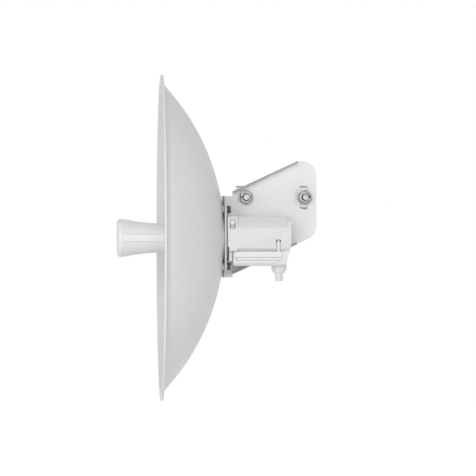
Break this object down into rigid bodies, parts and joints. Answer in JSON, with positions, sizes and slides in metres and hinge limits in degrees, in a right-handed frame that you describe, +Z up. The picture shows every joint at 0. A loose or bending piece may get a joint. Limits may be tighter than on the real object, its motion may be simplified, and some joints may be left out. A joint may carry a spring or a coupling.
{
  "type": "outdoor wireless bridge",
  "caption": "Directional outdoor radio link: an oval dish with a plug-in feed and radio, on a bracket that tilts on a two-jaw pole clamp.",
  "frame": {"origin": "on the pole's axis at the height of the two clamp bolts, midway along the jaws", "axes": "+Z up the pole, -X the way the dish looks, -Y towards the side that the radio hangs on"},
  "size_m": [0.2273, 0.2799, 0.366],
  "materials": {
    "dish_paint": "satin powder coat",
    "bracket_paint": "satin powder coat",
    "zinc_plate": "zinc plated",
    "white_plastic": "fine moulded matte",
    "grey_rubber": "matte",
    "pale_rubber": "matte",
    "circuit_board": "solder mask",
    "brass": "stamped",
    "bare_aluminium": "milled",
    "tin_plate": "tin plated",
    "clear_plastic": "clear polished",
    "black_plastic": "matte"
  },
  "bodies": {
    "near_clamp": {"near_jaw": "bracket_paint", "clamp_washers": "zinc_plate", "clamp_spring_washers": "zinc_plate"},
    "far_clamp": {"far_jaw": "bracket_paint", "pivot_bolt": "zinc_plate", "elevation_bolt": "zinc_plate"},
    "front_nut": {"pivot_nut": "zinc_plate"},
    "rear_nut": {"elevation_nut": "zinc_plate"},
    "antenna": {"mounting_bracket": "bracket_paint", "dish_reflector": "dish_paint", "dish_screws": "zinc_plate", "dish_washers": "zinc_plate", "dish_nuts": "zinc_plate"},
    "radio": {"feed_radome": "white_plastic", "feed_end_cap": "white_plastic", "cap_seal": "grey_rubber", "sub_reflector": "bare_aluminium", "feed_radiator": "brass", "collar_seal": "grey_rubber", "housing_shell": "white_plastic", "rear_cap_seal": "pale_rubber", "housing_rear_cap": "white_plastic", "rear_cap_screws": "zinc_plate", "led_light_pipes": "clear_plastic", "radio_board": "circuit_board", "rf_shield": "tin_plate", "heat_sink": "bare_aluminium", "ethernet_jack": "tin_plate", "reset_switch": "black_plastic", "port_seal": "grey_rubber"},
    "cover": {"port_cover": "white_plastic", "cable_grommet": "pale_rubber"},
    "latch": {"release_latch": "white_plastic"},
    "reset": {"reset_button": "black_plastic"}
  },
  "joints": [
    {"name": "clamp_opening", "type": "slide", "parent": "near_clamp", "child": "far_clamp", "axis": [0, 1, 0], "range_m": [0, 0.006]},
    {"name": "front_nut_turn", "type": "hinge", "parent": "near_clamp", "child": "front_nut", "pos_m": [-0.0335, 0, 0], "axis": [0, -1, 0], "range_deg": [0, 1730]},
    {"name": "rear_nut_turn", "type": "hinge", "parent": "near_clamp", "child": "rear_nut", "pos_m": [0.0335, 0, 0], "axis": [0, -1, 0], "range_deg": [0, 1730]},
    {"name": "elevation_tilt", "type": "hinge", "parent": "near_clamp", "child": "antenna", "pos_m": [-0.0335, 0, 0], "axis": [0, 1, 0], "range_deg": [-7.5, 7.5]},
    {"name": "radio_withdrawal", "type": "slide", "parent": "antenna", "child": "radio", "axis": [1, 0, 0], "range_m": [0, 0.13]},
    {"name": "cover_removal", "type": "slide", "parent": "radio", "child": "cover", "axis": [0, 0, -1], "range_m": [0, 0.03]},
    {"name": "latch_press", "type": "hinge", "parent": "radio", "child": "latch", "pos_m": [-0.0518, -0.08925, -0.026], "axis": [1, 0, 0], "range_deg": [0, 9], "stiffness_Nm_per_rad": 0.05},
    {"name": "reset_press", "type": "slide", "parent": "radio", "child": "reset", "axis": [0, 0, 1], "range_m": [0, 0.0005], "stiffness_N_per_m": 1500}
  ],
  "couplings": [
    {"joint": "front_nut_turn", "follows": "clamp_opening", "rad_per_m": 5026.5},
    {"joint": "rear_nut_turn", "follows": "clamp_opening", "rad_per_m": 5026.5}
  ]
}
